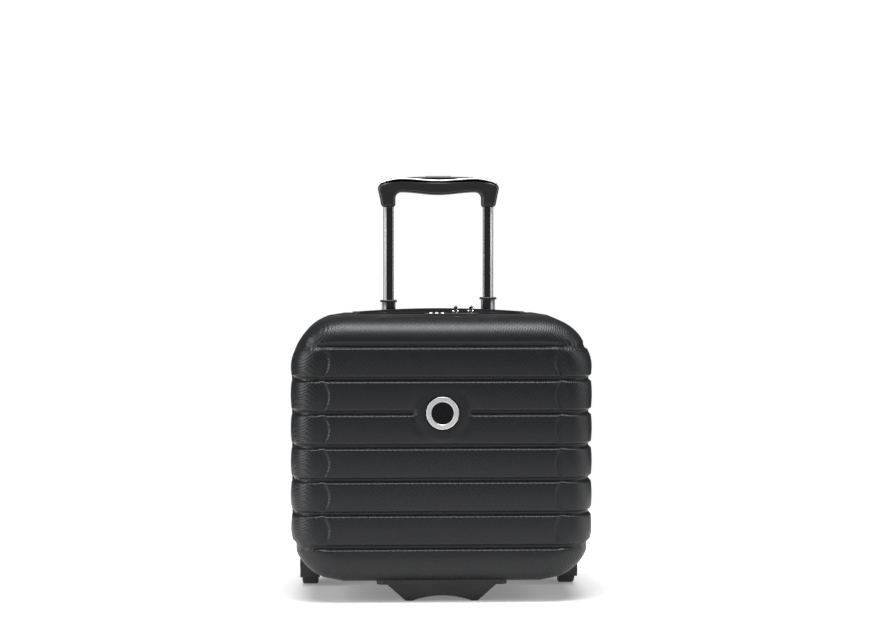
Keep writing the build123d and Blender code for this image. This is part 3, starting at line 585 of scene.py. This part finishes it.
front_cloth = build_lining("front_lining_cloth", 1, front_edge, half_depth)
lock_inside, lock_front, lock_back, lock_depth = 3.5, -31.0, -13.0, 20.0
cut(front_cloth, cutter_box((lock_low[0] + lock_inside, lock_front, lock_high[2] - lock_depth),
                            (lock_high[0] - lock_inside, lock_back, lock_high[2])))
place(front_cloth, "front_case", "lining", "front_lining")

rear_form_depth = span("rear_lining")[1][1] + lining_insets[0]
rear_cloth = build_lining("rear_lining_cloth", -1, rear_edge, rear_form_depth)
sides_room, front_room, lining_cut_depth = 1.0, 3.0, 19.0
cut(rear_cloth, cutter_box((console_low[0] - sides_room, console_low[1] - front_room,
                            console_high[2] - lining_cut_depth),
                           (console_high[0] + sides_room, console_high[1], console_high[2] + above_console)))
cut_for_wheels(rear_cloth, lining_room, lining_room)
place(rear_cloth, "rear_case", "lining", "rear_lining")


# ---- zip: tapes, teeth and the piping beside them ----
spacing_steps, band_steps = 40, 24


def outline(shy, steps):
    """Points and outward directions round the case's outline, drawn in by shy, with steps to each corner."""
    radius = corner - shy
    found = []
    for sx, sz, start in ((1, 1, 0), (-1, 1, 90), (-1, -1, 180), (1, -1, 270)):
        for k in range(steps + 1):
            angle = radians(start + 90 * k / steps)
            out = (cos(angle), sin(angle))
            found.append((sx * flat_x + radius * out[0], mid_z + sz * flat_z + radius * out[1], out))
    return found


def along_outline(shy, pitch):
    """Evenly spaced places along the outline: x, z and the outward direction."""
    dense = outline(shy, spacing_steps)
    dense.append(dense[0])
    found, left = [], 0.0
    for (x0, z0, o0), (x1, z1, o1) in zip(dense, dense[1:]):
        length = ((x1 - x0) ** 2 + (z1 - z0) ** 2) ** 0.5
        at = left
        while at < length:
            t = at / length
            out = Vector((o0[0] * (1 - t) + o1[0] * t, o0[1] * (1 - t) + o1[1] * t)).normalized()
            found.append((x0 + (x1 - x0) * t, z0 + (z1 - z0) * t, out))
            at += pitch
        left = at - length
    return found


def band(name, profile, mat):
    """A closed band round the case from a closed profile of (inset, y) points."""
    loops = [[(x, y, z) for x, z, _ in outline(shy, band_steps)] for shy, y in profile]
    count = len(loops[0])
    vertices = [p for loop in loops for p in loop]
    faces = []
    for k in range(len(loops)):
        low, high = k * count, (k + 1) % len(loops) * count
        faces += [(low + i, low + (i + 1) % count, high + (i + 1) % count, high + i) for i in range(count)]
    return outward(make_object(name, vertices, faces, mat))


# the tape's waved section: inset from the outline and distance from the parting line
tape_section = [(2.7, 5.0), (2.5, 4.4), (2.9, 3.4), (2.6, 2.4),
                (2.9, 1.4), (3.6, 1.2), (4.2, 1.4), (4.3, 5.0)]
piping_inset, piping_y, piping_radius, piping_sides = 1.0, 4.3, 0.95, 10
tooth_inset, tooth_pitch = 3.0, 2.0
tooth_rise, tooth_half_width, tooth_taper = 0.9, 0.55, 0.8
tooth_near, tooth_far = 0.15, 2.3
hinge_strip = 10.0


def zip_teeth(name, side):
    """One half's teeth, slimmer at the parting line, all round but for the hinge on the left."""
    vertices, faces = [], []
    for x, z, out in along_outline(tooth_inset, tooth_pitch):
        if x < -half_width + hinge_strip and abs(z - mid_z) < flat_z:
            continue
        base = len(vertices)
        for rise in (-tooth_rise, tooth_rise):
            for y, taper in ((tooth_near, tooth_taper), (tooth_far, 1.0)):
                for aside in (-tooth_half_width * taper, tooth_half_width * taper):
                    vertices.append((x + out[0] * rise - out[1] * aside, side * y,
                                     z + out[1] * rise + out[0] * aside))
        faces += [tuple(base + i for i in face) for face in box_faces]
    return outward(make_object(name, vertices, faces, teeth_mat, False))


for end, body, side in (("front", "front_case", -1), ("rear", "rear_case", 1)):
    tape = band(f"zip_tape_{end}_cloth", [(shy, side * y) for shy, y in tape_section], tape_mat)
    place(tape, body, "zip_tape", f"zip_tape_{end}")
    piping_section = [(piping_inset + a, side * piping_y + b) for a, b in circle(piping_radius, piping_sides)]
    place(band(f"piping_{end}", piping_section, trim_mat), body, "trim")
    place(zip_teeth(f"zip_teeth_{end}", side), body, "zip_tape")


# ---- handle grip: body, bright line and cover from their outlines ----
slab_segments, slab_angle = 5, 50


def slab(name, points, y_front, y_back, bevel, mat):
    """A closed slab from an outline in x and z, with rounded front and back edges."""
    vertices = [(x, y, z) for y in (y_front, y_back) for x, z in points]
    obj = outward(make_object(name, vertices, prism_faces(len(points)), mat))
    step = obj.modifiers.new("edges", "BEVEL")
    step.width = bevel * MM
    step.segments = slab_segments
    step.limit_method = "ANGLE"
    step.angle_limit = radians(slab_angle)
    step.harden_normals = True
    return apply_modifiers(obj)


grip_low, grip_high = span("grip_body")
grip_half = grip_high[0]
cover_top = span("grip_top_cover")[1][2]
button_low, button_high = span("release_button")
line_height, line_proud = 2.2, 0.4
hump_x, hump_drop, middle_dip, end_fall = 54.0, 4.4, 2.8, 8.0
shoulder_x, shoulder_drop, shoulder_fall = 62.0, 2.0, 8.6
line_reach, line_steps = 0.965, 60
leg_out, leg_in, leg_bottom = 84.5, 64.0, grip_low[2]
under = cover_top - 23.4
end_thickness, flare_above, underside_sag = 3.0, 5.0, 4.0
inner_radius, underside_steps = 9.0, 8
joint_gap, cover_thinnest, cover_inset = 0.02, 0.2, 0.3
body_bevel, line_bevel, cover_bevel = 5.0, 1.1, 2.0


def line_z(x):
    """Height of the bright line: dipped in the middle, humped at hump_x and falling to the ends."""
    ax = abs(x)
    if ax < hump_x:
        return cover_top - hump_drop - middle_dip * cos(pi / 2 * ax / hump_x) ** 2
    return cover_top - hump_drop - end_fall * ((ax - hump_x) / (grip_half - hump_x)) ** 2


def cover_z(x):
    """Height of the cover's top."""
    ax = abs(x)
    if ax < shoulder_x:
        return cover_top - shoulder_drop * (ax / shoulder_x) ** 2
    return cover_top - shoulder_drop - shoulder_fall * ((ax - shoulder_x) / (grip_half - shoulder_x)) ** 2


def half_underside():
    """From the left leg's outer top to near the middle of the underside."""
    inner_x = leg_in - inner_radius
    points = [(-grip_half, line_z(grip_half) - end_thickness), (-grip_half, under + flare_above)]
    points += [(-leg_out, leg_bottom), (-leg_in, leg_bottom), (-leg_in, under - inner_radius)]
    for k in range(1, underside_steps + 1):
        angle = pi - pi / 2 * k / underside_steps
        points.append((-inner_x + inner_radius * cos(angle),
                       under - inner_radius + inner_radius * sin(angle)))
    for k in range(1, underside_steps):
        part = k / underside_steps
        points.append((-inner_x * (1 - part), under - underside_sag / 2 * (1 - cos(pi * part))))
    return points


def button_pocket():
    """A cutter for the hole that the release button slides in."""
    room, above = 0.5, 20.0
    return cutter_box((button_low[0] - room, button_low[1] - room, button_low[2]),
                      (button_high[0] + room, button_high[1] + room, button_high[2] + above))


xs = [grip_half * line_reach * (2 * k / line_steps - 1) for k in range(line_steps + 1)]
left_half = half_underside()
grip_points = left_half + [(0.0, under - underside_sag)] + [(-x, z) for x, z in reversed(left_half)]
grip_points += [(x, line_z(x)) for x in reversed(xs)]
body_piece = slab("grip_body_shape", grip_points, grip_low[1], grip_high[1], body_bevel, grip_mat)
place(body_piece, "handle", "grip", "grip_body")

line_points = [(x, line_z(x) + joint_gap) for x in xs]
line_points += [(x, line_z(x) + line_height) for x in reversed(xs)]
line_piece = slab("grip_bright_line", line_points, grip_low[1] - line_proud, grip_high[1] + line_proud,
                  line_bevel, satin_mat)
cut(line_piece, button_pocket())
place(line_piece, "handle", "chrome", "grip_accent_strip")

cover_points = [(x, line_z(x) + line_height + joint_gap) for x in xs]
cover_points += [(x, max(cover_z(x), line_z(x) + line_height + cover_thinnest)) for x in reversed(xs)]
cover_piece = slab("grip_cover_shape", cover_points, grip_low[1] + cover_inset, grip_high[1] - cover_inset,
                   cover_bevel, cover_mat)
cut(cover_piece, button_pocket())
place(cover_piece, "handle", "cover", "grip_top_cover")

# ---- small rounded edges on the moulded CAD pieces ----
edge_bevel, edge_segments, edge_angle = 0.4, 2, 40
for name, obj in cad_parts.items():
    if obj.hide_render or name.startswith(("rear_lining", "wheel_bearings", "lock_dial")):
        continue
    step = obj.modifiers.new("edges", "BEVEL")
    step.width = edge_bevel * MM
    step.segments = edge_segments
    step.limit_method = "ANGLE"
    step.angle_limit = radians(edge_angle)
    step.use_clamp_overlap = True

# ---- floor, light and camera, in metres ----
white = (1, 1, 1, 1)
floor_radius, floor_sides = 1.0, 96
glow_start, glow_full = 0.2, 0.5
glow_near, glow_far = 0.2, 1.0
sky_strength = 0.12
aim = (0, 0, 0.25)
camera_place = (-0.10, -3.0, 0.52)
camera_down, camera_right = 2.05, 1.98
camera_lens = 83.7


def stage_floor():
    """A pale disc that glows more towards its rim, so that it runs into the white behind it."""
    rim = [(x, y, 0) for x, y in circle(floor_radius, floor_sides)]
    mesh = bpy.data.meshes.new("floor")
    mesh.from_pydata(rim, [], [tuple(range(len(rim)))])
    floor = bpy.data.objects.new("floor", mesh)
    bpy.context.scene.collection.objects.link(floor)
    floor_mat, tree, shader = material("floor_white", (0.72, 0.72, 0.72), 0.6)
    shader.inputs["Emission Color"].default_value = white
    distance = tree.nodes.new("ShaderNodeVectorMath")
    distance.operation = "LENGTH"
    tree.links.new(object_point(tree), distance.inputs[0])
    glow = tree.nodes.new("ShaderNodeMapRange")
    glow.inputs["From Min"].default_value = glow_start
    glow.inputs["From Max"].default_value = glow_full
    glow.inputs["To Min"].default_value = glow_near
    glow.inputs["To Max"].default_value = glow_far
    tree.links.new(distance.outputs["Value"], glow.inputs["Value"])
    tree.links.new(glow.outputs["Result"], shader.inputs["Emission Strength"])
    floor.data.materials.append(floor_mat)


def area_light(name, spot, target, size, power):
    """A rectangular softbox at spot, turned to target."""
    data = bpy.data.lights.new(name, "AREA")
    data.shape = "RECTANGLE"
    data.size, data.size_y = size
    data.energy = power
    lamp = bpy.data.objects.new(name, data)
    lamp.location = spot
    lamp.rotation_mode = "QUATERNION"
    lamp.rotation_quaternion = (Vector(target) - Vector(spot)).to_track_quat("-Z", "Y")
    bpy.context.scene.collection.objects.link(lamp)


def studio_world():
    """Weak white light from all round, and plain white where the camera sees past the floor."""
    world = bpy.data.worlds.new("studio")
    bpy.context.scene.world = world
    world.use_nodes = True
    tree = world.node_tree
    sky_light = tree.nodes["Background"]
    sky_light.inputs["Color"].default_value = white
    sky_light.inputs["Strength"].default_value = sky_strength
    backdrop = tree.nodes.new("ShaderNodeBackground")
    backdrop.inputs["Color"].default_value = white
    seen = tree.nodes.new("ShaderNodeMixShader")
    tree.links.new(tree.nodes.new("ShaderNodeLightPath").outputs["Is Camera Ray"], seen.inputs[0])
    tree.links.new(sky_light.outputs[0], seen.inputs[1])
    tree.links.new(backdrop.outputs[0], seen.inputs[2])
    tree.links.new(seen.outputs[0], tree.nodes["World Output"].inputs["Surface"])


stage_floor()
studio_world()
area_light("left_softbox", (-2.0, -0.7, 0.9), aim, (0.9, 1.8), 36)
area_light("right_softbox", (2.0, -0.6, 0.8), aim, (0.7, 1.6), 20)
area_light("top_softbox", (0, -0.55, 2.3), (0, -0.1, 0.3), (2.0, 0.9), 92)

camera_data = bpy.data.cameras.new("camera")
camera = bpy.data.objects.new("camera", camera_data)
bpy.context.scene.collection.objects.link(camera)
camera_data.sensor_width = 36
camera_data.lens = camera_lens
camera.location = camera_place
camera.rotation_euler = (radians(90 - camera_down), 0, radians(-camera_right))
bpy.context.scene.camera = camera
bpy.context.scene.view_settings.view_transform = "Standard"
